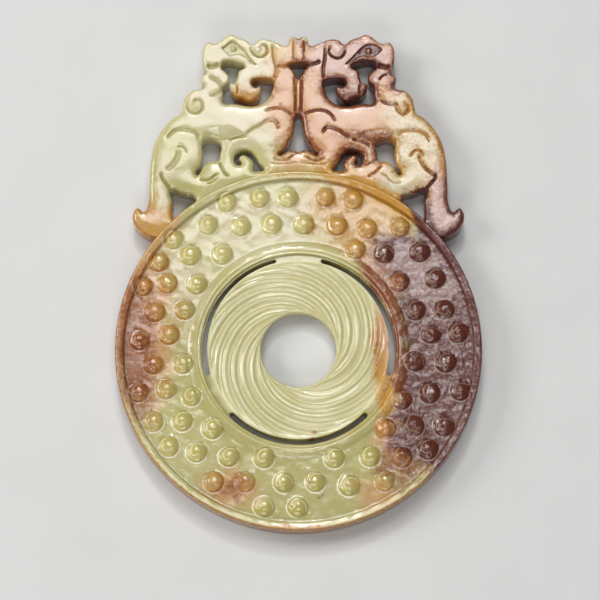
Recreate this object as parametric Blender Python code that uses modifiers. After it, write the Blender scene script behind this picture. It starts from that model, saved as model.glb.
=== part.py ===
# Jade bi disc with an openwork crest of two beasts, carved from one piece of stone.
# It lies on its back with the carved front up: metres, +Z up, +Y from the disc to the crest.
# The origin is on the ground under the middle of the outline.
import math

import bmesh
import bpy
import numpy as np
from mathutils import Vector
from mathutils.kdtree import KDTree

NAME = "jade_bi_disc"

# Disc, outer part
DISC_DIAMETER = 0.075
RIM_THICKNESS = 0.0062
EDGE_ROUND = 0.0005         # rounding where the rim's side meets its front and back
LIP_TOP = 0.0005            # flat top of the raised lip
LIP_WIDTH = 0.0021          # from the outer edge to the foot of the lip's inner slope
FIELD_SINK = 0.0013         # field of bosses below the lip
BACK_RIM_WIDTH = 0.0028     # flat band that the disc lies on
BACK_BEVEL = 0.0006
BACK_SINK = 0.0011

# Inner rim, slots and ring
HOLE_DIAMETER = 0.0154
HOLE_ROUND = 0.0008
RING_OUTER = 0.01865        # radius of the slots' inner wall
SLOT_WIDTH = 0.0011
SLOT_MARGIN = 0.0002        # plain stone beside a slot
SLOT_COUNT = 3
BRIDGE_ANGLE = 27.0         # degrees of stone left between two slots
INNER_RIM_STEP = 0.0005
INNER_RIM_WIDTH = 0.0022
INNER_RIM_RISE = 0.0006
RING_SINK = 0.0016          # crests of the flutes below the lip
RING_BACK_SINK = 0.0012
FLUTE_COUNT = 13
FLUTE_DEPTH = 0.0006
FLUTE_SWEEP = 152.0         # degrees that a flute turns between the hole and the slots
FLUTE_RISE = 0.8            # share of a flute that slopes up, before its steep back
FLUTE_START = 0.35          # share of the full depth at the hole's edge
FLUTE_FADE = 0.0015         # width over which the flutes run out beside the slots

# Bosses in a hand-laid lattice
BOSS_DIAMETER = 0.0045
BOSS_HEIGHT = 0.0010
BOSS_PITCH = 0.0067
BOSS_ROW = 0.00595
BOSS_SHIFT_X = 0.0004
BOSS_SHIFT_Y = 0.0020
BOSS_TILT = -0.6            # degrees
BOSS_SINK = 0.00015         # depth that a boss's foot runs into the field
BOSS_INSET = 0.0015         # least distance from a rim's foot to the middle of a boss
BOSS_SLIDE = 0.0021         # farthest that a boss is slid to keep that distance

# Crest
CREST_HEIGHT = 0.02955      # from the top of the disc to the tops of the heads
CREST_THICKNESS = 0.0057
CREST_LIFT = 0.00025        # back of the crest above the ground
CREST_ROOT = 0.0012         # depth that the crest's foot runs into the rim
FOOT_TURN = 3.0             # degrees round the disc that the foot runs on under a tail
CREST_ROUND = 0.0016        # width over which the limbs round off
CARVED_FROM = 0.5           # share of the half thickness at which carved lines start to bite
CREST_DROP = 0.0011         # height lost by that rounding at the limbs' edges
BACK_DROP = 0.0004
CREST_VOXEL = 0.00042
CREST_TRIANGLES = 3000

TURN_STEPS = FLUTE_COUNT * 5
BOSS_SIDES = 8
RING_STATIONS = 7
SLOT_PIECES = 18
FOOT_PIECES = 16
SHARP_ANGLE = 35.0

# The left beast is drawn in units of CREST_HEIGHT / DRAWN_HEIGHT (near enough a millimetre):
# x is the distance from the middle line, y the height above the top of the disc.
DRAWN_HEIGHT = 29.55

BEAST_OUTLINE = [
    (0.0, 28.7), (0.9, 29.1), (1.8, 28.8), (2.1, 27.7), (2.6, 27.1), (4.2, 27.6), (6.4, 28.45),
    (8.3, 28.4), (9.6, 27.45), (10.9, 28.35), (12.6, 28.95), (14.3, 29.55), (15.5, 28.9),
    (16.6, 27.95), (17.9, 27.55), (18.9, 27.85), (19.8, 26.8), (20.05, 24.9), (19.7, 22.7),
    (19.15, 21.3), (20.2, 20.4), (20.25, 19.2), (19.55, 18.3), (20.4, 17.7), (22.2, 17.3),
    (23.6, 15.9), (24.1, 13.9), (24.5, 12.6), (26.2, 11.4), (28.3, 8.9), (29.8, 6.0), (30.5, 2.5),
    (30.8, -3.0), (31.05, -7.1), (32.0, -8.6), (32.7, -8.05), (33.2, -7.75), (34.0, -8.6),
    (34.2, -9.8), (33.4, -11.9), (31.8, -13.3), (30.2, -14.0),
]
BEARD_GAP = [
    (15.9, 23.5), (14.6, 23.9), (12.6, 23.5), (11.2, 22.6), (12.4, 21.6), (12.8, 20.1),
    (13.3, 19.0), (14.15, 18.85), (14.1, 17.4), (13.2, 16.2), (11.8, 15.8), (10.0, 15.2),
    (8.5, 15.9), (7.85, 17.4), (8.05, 18.25), (8.9, 18.0), (9.75, 18.6), (9.7, 19.6), (8.6, 20.0),
    (6.4, 19.9), (5.3, 19.4), (5.45, 17.5), (6.3, 15.7), (8.3, 14.35), (10.5, 14.1), (13.2, 14.6),
    (15.6, 14.8), (15.7, 16.5), (15.6, 18.4), (14.7, 19.1), (14.45, 20.3), (15.1, 21.3),
    (16.1, 22.3),
]
BELLY_GAP = [
    (19.7, 6.5), (16.4, 6.4), (16.0, 5.3), (16.25, 3.7), (16.6, 2.35), (18.2, 2.15), (19.7, 1.1),
    (20.3, -0.1), (21.0, -0.7), (21.3, -0.1), (20.3, 1.5), (19.9, 3.8),
]
TAIL_GAP = [
    (26.2, -4.0), (24.0, -4.5), (21.3, -5.6), (21.9, -7.3), (23.8, -8.75), (25.5, -10.3),
    (26.0, -9.0), (26.0, -6.8),
]
FORELEG_GAP = [
    (7.2, 0.5), (8.1, 1.8), (9.2, 3.7), (10.1, 4.5), (12.0, 4.55), (13.2, 3.6), (13.3, 2.2),
    (12.5, 1.35), (11.75, 1.8), (12.3, 2.8), (11.5, 3.55), (10.3, 3.0), (9.35, 1.9), (9.25, 0.2),
    (8.3, 0.1),
]
CHEST_GAP = [
    (0.0, 12.4), (0.75, 11.1), (0.95, 9.3), (1.6, 7.1), (2.9, 4.9), (4.0, 3.6), (2.6, 4.2),
    (1.2, 4.6), (0.0, 4.3),
]
HORN_GAP = [(0.0, 23.5), (1.3, 23.4), (1.9, 22.8), (1.3, 21.9), (0.5, 20.6), (0.0, 19.9)]

# Carved lines of the left beast: points, width and depth, in the same drawn units
CARVED_LINES = [
    ([(16.0, 26.8), (14.0, 26.5), (12.0, 25.9), (10.2, 24.4), (8.8, 23.1)], 1.5, 0.55),
    ([(9.7, 27.3), (9.7, 26.0), (8.8, 24.9), (7.6, 24.8), (6.6, 25.8), (7.0, 27.0)], 0.9, 0.6),
    ([(5.0, 26.5), (4.8, 24.0), (4.3, 21.5), (5.0, 19.5)], 0.8, 0.6),
    ([(4.4, 23.0), (3.0, 22.9), (1.6, 22.9)], 1.3, 1.3),
    ([(19.4, 22.6), (17.6, 22.4), (16.0, 22.8)], 1.5, 1.2),
    ([(0.0, 19.9), (0.0, 16.0), (0.0, 12.4)], 1.0, 0.8),
    ([(23.2, 15.4), (23.2, 13.2), (21.9, 11.9), (20.2, 12.3), (19.3, 13.8), (20.2, 15.2)], 0.9, 0.6),
    ([(27.3, 6.6), (26.4, 8.3), (24.4, 9.1), (22.2, 8.7), (20.8, 7.5)], 0.8, 0.55),
    ([(23.2, 4.0), (24.2, 4.9), (25.0, 4.3), (24.8, 2.6), (26.4, 1.0), (28.3, -0.1)], 0.9, 0.55),
    ([(28.4, -0.2), (27.6, -2.2), (26.5, -3.8)], 0.9, 0.8),
    ([(4.4, 8.6), (4.7, 10.2), (6.0, 10.8), (7.8, 9.8), (10.6, 8.0)], 0.9, 0.6),
    ([(7.2, 13.0), (5.0, 13.6), (3.0, 13.2), (1.2, 11.9)], 0.7, 0.55),
    ([(4.6, 3.2), (3.0, 2.7), (1.2, 3.2), (0.0, 3.6)], 0.7, 0.5),
    ([(16.2, 2.2), (15.9, 0.6), (15.0, -1.0)], 0.9, 0.7),
    ([(20.6, -1.8), (18.6, -2.0), (16.6, -1.2)], 0.7, 0.5),
]
BEAST_EYE = (13.6, 26.6, 1.05)      # place and reach of the eyeball left standing in its socket


def clear_scene():
    for item in list(bpy.data.objects):
        bpy.data.objects.remove(item)


def new_collection(name):
    collection = bpy.data.collections.new(name)
    bpy.context.scene.collection.children.link(collection)
    return collection


def add_object(name, data, collection):
    item = bpy.data.objects.new(name, data)
    collection.objects.link(item)
    return item


def evaluated_mesh(item):
    bpy.context.view_layer.update()
    graph = bpy.context.evaluated_depsgraph_get()
    return bpy.data.meshes.new_from_object(item.evaluated_get(graph))


def bake(item):
    """Turn an object and its modifiers into one plain mesh."""
    mesh = evaluated_mesh(item)
    item.modifiers.clear()
    item.data = mesh
    return item


def as_guide(item):
    item.hide_render = True
    item.display_type = "WIRE"
    return item


def smooth_fall(share):
    """From 1 at the middle of a form to 0 at its border, with level ends."""
    share = np.clip(share, 0.0, 1.0)
    return 0.5 + 0.5 * np.cos(math.pi * share)


# Disc

def ring_stations():
    """Even radii across the ring; the turning of the flutes needs them on the back too."""
    first = HOLE_DIAMETER / 2 + HOLE_ROUND
    step = (RING_OUTER - SLOT_MARGIN - first) / (RING_STATIONS - 1)
    return [first + step * index for index in range(RING_STATIONS)]


def disc_profile():
    """Half section of the disc, from the hole along the front to the edge and back below."""
    rim = DISC_DIAMETER / 2
    top = RIM_THICKNESS
    hole = HOLE_DIAMETER / 2
    ring_top = top - RING_SINK
    field = top - FIELD_SINK
    slot_outer = RING_OUTER + SLOT_WIDTH
    band_inner = slot_outer + INNER_RIM_STEP
    band_outer = band_inner + INNER_RIM_WIDTH
    band_top = field + INNER_RIM_RISE
    back_foot = rim - BACK_RIM_WIDTH
    points = [(hole, ring_top - HOLE_ROUND)]
    points += [(radius, ring_top) for radius in ring_stations()]
    points += [
        (slot_outer + SLOT_MARGIN, band_top - INNER_RIM_STEP),
        (band_inner, band_top),
        (band_outer - INNER_RIM_STEP, band_top),
        (band_outer, field),
        (rim - LIP_WIDTH, field),
        (rim - EDGE_ROUND - LIP_TOP, top),
        (rim - EDGE_ROUND, top),
        (rim, top - EDGE_ROUND),
        (rim, EDGE_ROUND),
        (rim - EDGE_ROUND, 0.0),
        (back_foot, 0.0),
        (back_foot - BACK_BEVEL, BACK_SINK),
        (band_outer, BACK_SINK),
        (band_outer - BACK_BEVEL, BACK_SINK / 2),
        (slot_outer + SLOT_MARGIN, BACK_SINK / 2),
    ]
    points += [(radius, RING_BACK_SINK) for radius in reversed(ring_stations())]
    points.append((hole, RING_BACK_SINK + HOLE_ROUND))
    return points


def flute_wave(turn):
    """Height of one flute, from 0 to 1 and back: a long slope and a steep back."""
    place = turn % 1.0
    if place < FLUTE_RISE:
        return smooth_fall(1.0 - place / FLUTE_RISE)
    return smooth_fall((place - FLUTE_RISE) / (1.0 - FLUTE_RISE))


def carve_flutes(mesh):
    """Sink spiral flutes into the front of the ring and turn them on their way outwards."""
    hole = HOLE_DIAMETER / 2
    end = RING_OUTER - SLOT_MARGIN
    level = (RIM_THICKNESS - RING_SINK + RING_BACK_SINK) / 2
    for vertex in mesh.vertices:
        radius = math.hypot(vertex.co.x, vertex.co.y)
        angle = math.atan2(vertex.co.y, vertex.co.x)
        share = min(max((radius - hole) / (end - hole), 0.0), 1.0)
        if vertex.co.z > level and radius < end:
            fade = smooth_fall(1.0 - (end - radius) / FLUTE_FADE)
            start = min(1.0, FLUTE_START + (radius - hole) / (FLUTE_FADE * 2))
            wave = flute_wave(angle / math.tau * FLUTE_COUNT)
            vertex.co.z -= FLUTE_DEPTH * fade * start * (1.0 - wave)
        angle += math.radians(FLUTE_SWEEP) * share
        vertex.co.x = radius * math.cos(angle)
        vertex.co.y = radius * math.sin(angle)


def make_disc(collection):
    mesh = bpy.data.meshes.new("disc")
    points = [(radius, 0.0, height) for radius, height in disc_profile()]
    count = len(points)
    edges = [(index, (index + 1) % count) for index in range(count)]
    mesh.from_pydata(points, edges, [])
    disc = add_object("disc", mesh, collection)
    screw = disc.modifiers.new("turned", "SCREW")
    screw.axis = "Z"
    screw.steps = TURN_STEPS
    screw.render_steps = TURN_STEPS
    screw.use_merge_vertices = True
    screw.merge_threshold = 0.00001
    bake(disc)
    carve_flutes(disc.data)
    return disc


def boss_centres():
    """A lattice of rows; bosses that would touch a rim are slid clear of it."""
    nearest = RING_OUTER + SLOT_WIDTH + INNER_RIM_STEP + INNER_RIM_WIDTH + BOSS_INSET
    farthest = DISC_DIAMETER / 2 - LIP_WIDTH - BOSS_INSET
    tilt = math.radians(BOSS_TILT)
    reach = math.ceil(DISC_DIAMETER / BOSS_ROW / 2) + 1
    centres = []
    for row in range(-reach, reach + 1):
        for place in range(-reach, reach + 1):
            x = (place + 0.5 * (row % 2)) * BOSS_PITCH + BOSS_SHIFT_X
            y = row * BOSS_ROW + BOSS_SHIFT_Y
            turned = Vector((x * math.cos(tilt) - y * math.sin(tilt),
                             x * math.sin(tilt) + y * math.cos(tilt)))
            radius = turned.length
            if nearest - BOSS_SLIDE < radius < farthest + BOSS_SLIDE:
                centres.append(turned * (min(max(radius, nearest), farthest) / radius))
    return centres


def make_bosses(collection):
    """All bosses as one set of low domes whose feet are sunk in the field."""
    shape = bmesh.new()
    foot = RIM_THICKNESS - FIELD_SINK - BOSS_SINK
    height = BOSS_HEIGHT + BOSS_SINK
    for centre in boss_centres():
        dome = bmesh.ops.create_uvsphere(shape, u_segments=BOSS_SIDES, v_segments=4, radius=1.0)
        for vertex in dome["verts"]:
            vertex.co.x = centre.x + vertex.co.x * BOSS_DIAMETER / 2
            vertex.co.y = centre.y + vertex.co.y * BOSS_DIAMETER / 2
            vertex.co.z = foot + vertex.co.z * height
    mesh = bpy.data.meshes.new("bosses")
    shape.to_mesh(mesh)
    shape.free()
    return as_guide(add_object("bosses", mesh, collection))


def make_slot(index, collection):
    """Cutter for one curved slot with round ends, right through the disc."""
    middle = RING_OUTER + SLOT_WIDTH / 2
    step = math.tau / SLOT_COUNT
    start = math.pi / 2 + math.radians(BRIDGE_ANGLE) / 2 + step * index
    sweep = step - math.radians(BRIDGE_ANGLE)
    curve = bpy.data.curves.new("slot", "CURVE")
    curve.dimensions = "2D"
    curve.fill_mode = "BOTH"
    curve.extrude = RIM_THICKNESS
    outline = []
    for radius, way in ((middle + SLOT_WIDTH / 2, 1), (middle - SLOT_WIDTH / 2, -1)):
        turns = range(SLOT_PIECES + 1) if way == 1 else range(SLOT_PIECES, -1, -1)
        for turn in turns:
            angle = start + sweep * turn / SLOT_PIECES
            outline.append((radius * math.cos(angle), radius * math.sin(angle)))
        angle = start + sweep * (1 if way == 1 else 0)
        tip = angle + way * SLOT_WIDTH / 2 / middle
        outline.append((middle * math.cos(tip), middle * math.sin(tip)))
    spline = curve.splines.new("POLY")
    spline.points.add(len(outline) - 1)
    for point, (x, y) in zip(spline.points, outline):
        point.co = (x, y, 0.0, 1.0)
    spline.use_cyclic_u = True
    return as_guide(curve_to_mesh(curve, "slot_cutter", RIM_THICKNESS / 2, collection))


def curve_to_mesh(curve, name, height, collection):
    """A filled curve made a closed mesh, with its middle plane at the given height."""
    guide = add_object(name, curve, collection)
    mesh = evaluated_mesh(guide)
    bpy.data.objects.remove(guide)
    shape = bmesh.new()
    shape.from_mesh(mesh)
    bmesh.ops.remove_doubles(shape, verts=shape.verts, dist=0.000001)
    bmesh.ops.translate(shape, verts=shape.verts, vec=(0.0, 0.0, height))
    bmesh.ops.recalc_face_normals(shape, faces=shape.faces)
    shape.to_mesh(mesh)
    shape.free()
    return add_object(name, mesh, collection)


# Crest

def drawn(point, side=1):
    """A drawn point of the beast in metres, on the left for side 1 and on the right for -1."""
    unit = CREST_HEIGHT / DRAWN_HEIGHT
    return (-side * point[0] * unit, DISC_DIAMETER / 2 + point[1] * unit)


def mirrored(half):
    """A closed outline across the middle line from its left half, first and last point on it."""
    left = [drawn(point) for point in half]
    right = [drawn(point, -1) for point in half]
    return left + right[-2:0:-1]


def crest_outlines():
    root = DISC_DIAMETER / 2 - CREST_ROOT
    end = drawn(BEAST_OUTLINE[-1])
    first = math.atan2(end[1], end[0]) + math.radians(FOOT_TURN)
    last = math.pi - first
    left = [drawn(point) for point in BEAST_OUTLINE]
    right = [drawn(point, -1) for point in BEAST_OUTLINE]
    base = []
    for index in range(FOOT_PIECES + 1):
        angle = first + (last - first) * index / FOOT_PIECES
        base.append((root * math.cos(angle), root * math.sin(angle)))
    outlines = [left + base + right[:0:-1], mirrored(CHEST_GAP), mirrored(HORN_GAP)]
    for gap in (BEARD_GAP, BELLY_GAP, TAIL_GAP, FORELEG_GAP):
        for side in (1, -1):
            outlines.append([drawn(point, side) for point in gap])
    return outlines


def crest_curve(outlines):
    curve = bpy.data.curves.new("crest", "CURVE")
    curve.dimensions = "2D"
    curve.fill_mode = "BOTH"
    curve.extrude = CREST_THICKNESS / 2
    curve.resolution_u = 5
    for outline in outlines:
        spline = curve.splines.new("BEZIER")
        spline.bezier_points.add(len(outline) - 1)
        for point, (x, y) in zip(spline.bezier_points, outline):
            point.co = (x, y, 0.0)
            point.handle_left_type = "AUTO"
            point.handle_right_type = "AUTO"
        spline.use_cyclic_u = True
    return curve


def distance_to_line(places, points):
    """Distance of many places from an open line of straight pieces."""
    nearest = np.full(len(places), 1.0)
    for start, end in zip(points[:-1], points[1:]):
        start = np.array(start)
        along = np.array(end) - start
        share = np.clip((places - start) @ along / (along @ along), 0.0, 1.0)
        gap = places - start - share[:, None] * along
        nearest = np.minimum(nearest, np.hypot(gap[:, 0], gap[:, 1]))
    return nearest


def edge_distance(places, mesh):
    """Distance of many places from the crest's walls, read at the walls' own corners."""
    walls = [vertex.co for vertex in mesh.vertices]
    tree = KDTree(len(walls))
    for index, place in enumerate(walls):
        tree.insert((place.x, place.y, 0.0), index)
    tree.balance()
    return np.array([tree.find((x, y, 0.0))[2] for x, y in places])


def round_limbs(mesh, outline_mesh):
    """Round the limbs off towards their edges and cut the carved lines into the front."""
    unit = CREST_HEIGHT / DRAWN_HEIGHT
    middle = CREST_LIFT + CREST_THICKNESS / 2
    count = len(mesh.vertices)
    places = np.empty(count * 3)
    mesh.vertices.foreach_get("co", places)
    places = places.reshape(-1, 3)
    flat = places[:, :2]
    edge = edge_distance(flat, outline_mesh)
    height = (places[:, 2] - middle) / (CREST_THICKNESS / 2)
    fall = smooth_fall(edge / CREST_ROUND)
    drop = np.where(height > 0, CREST_DROP, BACK_DROP)
    places[:, 2] -= height * fall * drop
    front = np.clip((height - CARVED_FROM) / (1.0 - CARVED_FROM), 0.0, 1.0)
    left = np.stack([-np.abs(flat[:, 0]), flat[:, 1]], axis=1)
    cut = np.zeros(count)
    for points, width, depth in CARVED_LINES:
        away = distance_to_line(left, [drawn(point) for point in points])
        cut = np.maximum(cut, depth * unit * smooth_fall(away / (width * unit)))
    eye_x, eye_y = drawn(BEAST_EYE[:2])
    away = np.hypot(left[:, 0] - eye_x, left[:, 1] - eye_y)
    cut *= 1.0 - smooth_fall(away / (BEAST_EYE[2] * unit))
    places[:, 2] -= cut * front
    mesh.vertices.foreach_set("co", places.ravel())
    mesh.update()


def make_crest(collection):
    middle = CREST_LIFT + CREST_THICKNESS / 2
    crest = curve_to_mesh(crest_curve(crest_outlines()), "crest", middle, collection)
    outline_mesh = crest.data
    remesh = crest.modifiers.new("even faces", "REMESH")
    remesh.mode = "VOXEL"
    remesh.voxel_size = CREST_VOXEL
    remesh.adaptivity = 0.0
    bake(crest)
    round_limbs(crest.data, outline_mesh)
    triangles = sum(len(face.vertices) - 2 for face in crest.data.polygons)
    fewer = crest.modifiers.new("fewer faces", "DECIMATE")
    fewer.ratio = min(1.0, CREST_TRIANGLES / triangles)
    fewer.use_collapse_triangulate = True
    bake(crest)
    return as_guide(crest)


# Whole piece

def combine(target, tool, operation):
    boolean = target.modifiers.new(operation.lower(), "BOOLEAN")
    boolean.object = tool
    boolean.operation = operation
    boolean.solver = "EXACT"
    return boolean


def jade_material():
    material = bpy.data.materials.new("jade")
    material.use_nodes = True
    shader = material.node_tree.nodes["Principled BSDF"]
    shader.inputs["Base Color"].default_value = (0.56, 0.53, 0.29, 1.0)
    shader.inputs["Roughness"].default_value = 0.3
    shader.inputs["Metallic"].default_value = 0.0
    return material


def settle(item):
    """Put the origin on the ground under the middle of the outline."""
    corners = np.array([vertex.co[:] for vertex in item.data.vertices])
    low = corners.min(axis=0)
    high = corners.max(axis=0)
    shape = bmesh.new()
    shape.from_mesh(item.data)
    away = (-(low[0] + high[0]) / 2, -(low[1] + high[1]) / 2, -low[2])
    bmesh.ops.translate(shape, verts=shape.verts, vec=away)
    bmesh.ops.triangulate(shape, faces=shape.faces)
    shape.to_mesh(item.data)
    shape.free()


def main():
    clear_scene()
    parts = new_collection("jade bi disc")
    guides = new_collection("cutters and added forms")
    disc = make_disc(parts)
    disc.name = NAME
    combine(disc, make_bosses(guides), "UNION")
    for index in range(SLOT_COUNT):
        combine(disc, make_slot(index, guides), "DIFFERENCE")
    combine(disc, make_crest(guides), "UNION")
    bake(disc)
    settle(disc)
    disc.data.materials.clear()
    disc.data.materials.append(jade_material())
    disc.data.shade_smooth()
    disc.data.set_sharp_from_angle(angle=math.radians(SHARP_ANGLE))


main()
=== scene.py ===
# Jade bi disc with an openwork crest of two beasts, one stone, lying on its back on a pale table.
# Shapes are made in millimetres from the middle of the disc, then brought to the frame's place.
import math

import bmesh
import bpy
import numpy as np
from mathutils import Matrix, Vector
from mathutils.kdtree import KDTree


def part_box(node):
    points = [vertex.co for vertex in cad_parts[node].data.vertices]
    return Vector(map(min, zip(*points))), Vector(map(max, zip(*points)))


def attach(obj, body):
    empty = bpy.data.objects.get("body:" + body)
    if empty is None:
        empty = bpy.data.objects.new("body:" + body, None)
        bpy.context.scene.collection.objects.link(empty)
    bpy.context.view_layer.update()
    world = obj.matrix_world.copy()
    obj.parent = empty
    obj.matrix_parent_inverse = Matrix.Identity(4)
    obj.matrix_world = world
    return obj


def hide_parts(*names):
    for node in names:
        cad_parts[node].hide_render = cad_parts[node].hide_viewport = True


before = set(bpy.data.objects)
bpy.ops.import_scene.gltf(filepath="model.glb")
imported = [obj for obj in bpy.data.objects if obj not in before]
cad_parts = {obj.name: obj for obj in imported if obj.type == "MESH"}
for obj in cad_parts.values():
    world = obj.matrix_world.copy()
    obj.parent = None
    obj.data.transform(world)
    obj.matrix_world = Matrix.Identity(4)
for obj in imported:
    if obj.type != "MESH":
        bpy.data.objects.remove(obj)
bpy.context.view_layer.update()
boxLow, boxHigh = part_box("jade_bi_disc")
print("frame loaded")


# Small helpers for shapes

def smoothFall(share):
    # 1 at the middle of a form, 0 at its border, with level ends
    return 0.5 + 0.5 * np.cos(math.pi * np.clip(share, 0.0, 1.0))


def softStep(value, low, high):
    # 0 below low, 1 above high
    return smoothFall((high - value) / (high - low))


def uneven(places, size, seed):
    # the slow unevenness of a ground by hand: crossing waves about as long as size, near -1 to 1
    draw = np.random.default_rng(seed)
    total = np.zeros(len(places))
    waves = 10
    for _ in range(waves):
        turn, start = draw.uniform(0.0, math.tau, 2)
        pitch = math.tau / (size * draw.uniform(0.7, 1.6))
        along = places[:, 0] * math.cos(turn) + places[:, 1] * math.sin(turn)
        total += np.sin(along * pitch + start)
    return total / math.sqrt(waves)


def handWaves(flat, kinds):
    # several kinds of unevenness together: height, length, seed
    return sum(height * uneven(flat, length, seed) for height, length, seed in kinds)


def readPlaces(mesh, kind="co"):
    places = np.empty(len(mesh.vertices) * 3)
    mesh.vertices.foreach_get(kind, places)
    return places.reshape(-1, 3)


def writePlaces(mesh, places):
    mesh.vertices.foreach_set("co", places.ravel())
    mesh.update()


def addMark(mesh, name, values):
    mesh.attributes.new(name, "FLOAT", "POINT").data.foreach_set("value", values)


def readMark(mesh, name):
    values = np.empty(len(mesh.vertices))
    mesh.attributes[name].data.foreach_get("value", values)
    return values


# what the carving leaves on each corner for the colours, and its value away from the carving
# the mark of the cuts' depth also carries the painted shade under the bellies
plainMarks = {"flute": 0.0, "bossAcross": 2.0, "bossUp": 2.0, "bossAway": 2.0,
              "carved": 0.0, "rim": 0.0}


def addCarvingMarks(mesh, given):
    # disc and crest both get every mark, so that joining them keeps it
    for name, plain in plainMarks.items():
        addMark(mesh, name, given.get(name, np.full(len(mesh.vertices), plain)))


def meshFromShape(shape, name):
    mesh = bpy.data.meshes.new(name)
    shape.to_mesh(mesh)
    shape.free()
    return mesh


def addPiece(name, data):
    piece = bpy.data.objects.new(name, data)
    bpy.context.scene.collection.objects.link(piece)
    return piece


def finishedMesh(piece):
    bpy.context.view_layer.update()
    graph = bpy.context.evaluated_depsgraph_get()
    return bpy.data.meshes.new_from_object(piece.evaluated_get(graph))


def applyModifiers(piece):
    mesh = finishedMesh(piece)
    piece.modifiers.clear()
    piece.data = mesh


def combine(piece, tool, operation):
    boolean = piece.modifiers.new(operation.lower(), "BOOLEAN")
    boolean.object = tool
    boolean.operation = operation
    boolean.solver = "MANIFOLD"
    applyModifiers(piece)
    bpy.data.objects.remove(tool)


def roundedLine(points, pieces=6):
    # a smooth open line through the given points
    points = np.array(points, float)
    padded = np.vstack([2 * points[0] - points[1], points, 2 * points[-1] - points[-2]])
    share = np.linspace(0.0, 1.0, pieces, endpoint=False)[:, None]
    line = []
    for a, b, c, d in zip(padded, padded[1:], padded[2:], padded[3:]):
        line.append(0.5 * (2 * b + (c - a) * share + (2 * a - 5 * b + 4 * c - d) * share ** 2
                           + (3 * b - a - 3 * c + d) * share ** 3))
    return np.vstack(line + [points[-1:]])


def lineDistance(flat, points):
    # distance from a line of points, the side (plus on the left) and the share along the line
    nearest = np.full(len(flat), 1e9)
    side = np.zeros(len(flat))
    along = np.zeros(len(flat))
    lengths = np.hypot(*(points[1:] - points[:-1]).T)
    total = lengths.sum()
    done = 0.0
    for start, end, length in zip(points, points[1:], lengths):
        way = (end - start) / length
        gap = flat - start
        run = np.clip(gap @ way, 0.0, length)
        gap -= run[:, None] * way
        away = np.hypot(gap[:, 0], gap[:, 1])
        closer = away < nearest
        nearest = np.where(closer, away, nearest)
        side = np.where(closer, np.sign(way[0] * gap[:, 1] - way[1] * gap[:, 0]), side)
        along = np.where(closer, (done + run) / total, along)
        done += length
    return nearest, side, along


def placesNear(places, reach, points, far):
    # the places in reach that a line of points comes close to
    low, high = points.min(axis=0) - far, points.max(axis=0) + far
    return np.all((places[:, :2] > low) & (places[:, :2] < high), axis=1) & reach


def onSide(points, side, rise=0.0):
    # points drawn for the right half, put on the side asked for
    return [(side * x, y + rise) for x, y in points]


def carveLine(places, reach, points, width, depth, slope=1.0, ends=(0.3, 0.15)):
    # cut a line that is slope times as wide on its left side, and runs out over its ends' shares
    points = roundedLine(points)
    near = placesNear(places, reach, points, width * max(1.0, slope))
    away, side, along = lineDistance(places[near, :2], points)
    wide = np.where(side > 0, width * slope, width)
    taper = softStep(along, 0.0, ends[0]) * softStep(1.0 - along, 0.0, ends[1])
    places[near, 2] -= depth * smoothFall(away / wide) * taper


# The disc, its ring and its slots

disc = {
    "radius": 37.5,
    "height": 6.2,
    "turns": 936,
    # everything higher than this is the carved front
    "frontFloor": 4.0,
    # half section of the front from the hole outwards: radius, height, widest gap between points
    "front": [
        (7.7, 3.6, 0.3), (7.78, 4.15, 0.2), (8.0, 4.45, 0.15), (8.4, 4.6, 0.2), (9.2, 4.65, 0.2),
        (18.45, 4.6, 0.22), (19.85, 4.55, 0.2), (19.98, 5.3, 0.1), (20.12, 5.5, 0.1),
        (20.32, 5.5, 0.1), (20.6, 5.36, 0.1), (20.85, 5.5, 0.1), (21.1, 5.5, 0.1),
        (22.3, 5.15, 0.2), (22.55, 4.92, 0.1), (22.75, 4.87, 0.1), (35.55, 4.9, 0.21),
        (35.7, 4.98, 0.1), (35.82, 5.7, 0.1), (35.93, 5.9, 0.1), (36.1, 5.98, 0.1),
        (36.95, 6.15, 0.15), (37.12, 6.18, 0.1), (37.32, 6.02, 0.1), (37.45, 5.7, 0.1),
        (37.5, 5.2, 0.1),
    ],
    "back": [
        (37.5, 0.6, 0.6), (37.3, 0.15, 0.15), (36.9, 0.0, 0.2), (34.8, 0.0, 0.5), (34.5, 0.3, 0.2),
        (34.1, 0.95, 0.3), (33.6, 1.1, 0.3), (22.6, 1.1, 0.9), (22.0, 0.6, 0.4), (19.9, 0.55, 0.4),
        (18.5, 0.8, 0.5), (17.9, 1.2, 0.4), (8.6, 1.2, 0.9), (7.95, 1.4, 0.3), (7.7, 1.9, 0.3),
    ],
    "flutes": 13,
    "fluteStart": 1.5,
    "fluteTurn": 14.2,
    "fluteEnd": 18.45,
    # inside this radius the flutes lean over by this much for each millimetre squared
    "fluteBend": (9.3, 9.0),
    "fluteDepth": 0.52,
    # unevenness of the ground, the inner band, the lip and the stained side: height, length, seed
    "groundWaves": [(0.035, 5.0, 1), (0.016, 2.2, 2)],
    "bandWaves": [(0.025, 3.5, 3)],
    "lipWaves": [(0.025, 3.2, 4)],
    "stainedWaves": [(0.05, 2.4, 6), (0.025, 1.2, 7)],
    "slotInner": 18.65,
    "slotWidth": 1.1,
    # from and to in degrees, width at the start and at the end
    "slots": [(103.5, 196.5, 0.85, 1.05), (223.5, 316.5, 1.15, 1.15), (343.5, 436.5, 1.35, 0.95)],
}

# the middle of the disc's back, in metres
discMiddle = Vector(((boxLow.x + boxHigh.x) / 2, boxLow.y + disc["radius"] / 1000, 0.0))

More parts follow.
